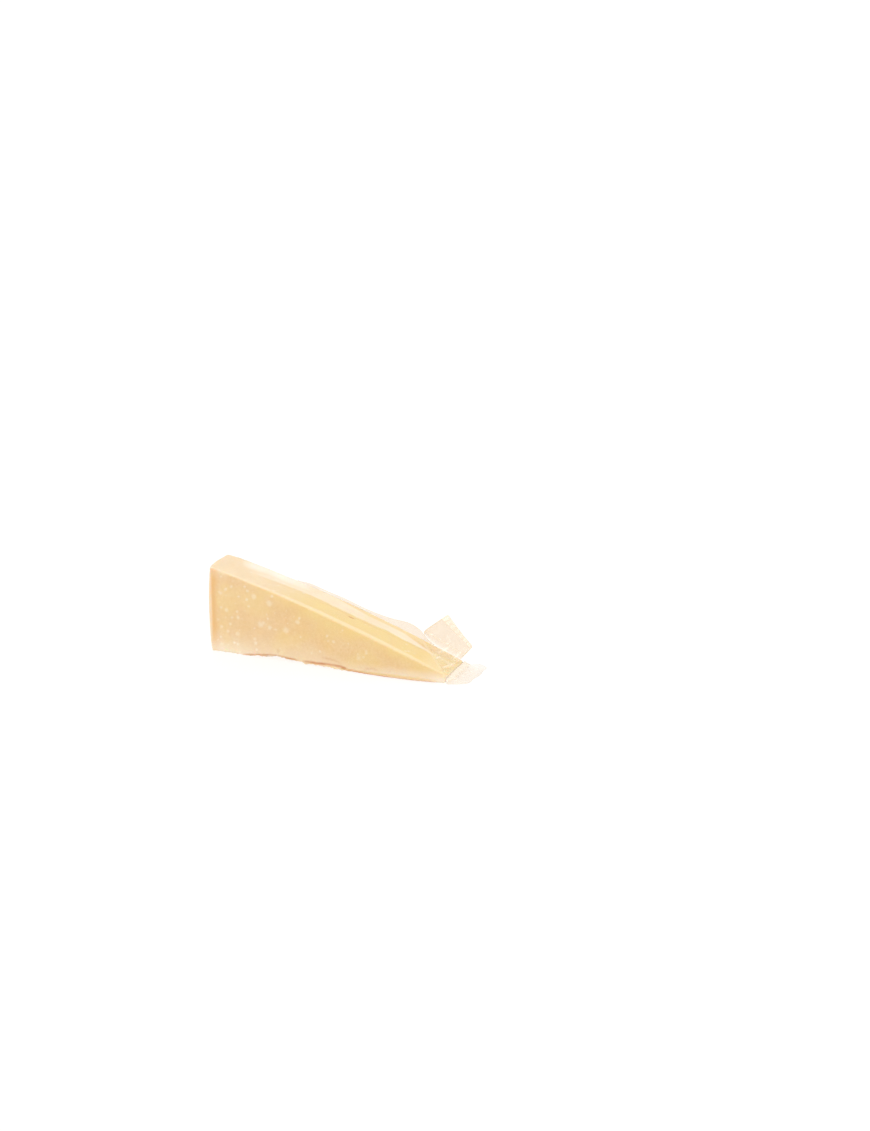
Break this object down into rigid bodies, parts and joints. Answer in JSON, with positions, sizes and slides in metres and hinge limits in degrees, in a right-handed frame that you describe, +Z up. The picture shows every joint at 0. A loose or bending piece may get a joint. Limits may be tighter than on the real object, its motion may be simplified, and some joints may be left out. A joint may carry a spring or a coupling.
{
  "type": "vacuum-packed parmesan wedge",
  "caption": "Long wedge of pale hard cheese in clear vacuum film, lying on a cut side, with a sealed film tab folded up over its blunt tip.",
  "frame": {"origin": "middle of the underside of the whole pack's box", "axes": "+X from the rind end to the tip, +Y through the thickness away from the shown cut face, +Z up from the cut side that it lies on"},
  "size_m": [0.2248, 0.0592, 0.0707],
  "materials": {
    "cheese": "pale straw cheese, waxy, with fine white crystals and a darker rind end",
    "film": "clear glossy vacuum film, crimped at its seal"
  },
  "bodies": {
    "root": {"parmesan_wedge": "cheese", "film_fin": "film", "film_tab": "film", "film_tail": "film"}
  },
  "joints": []
}
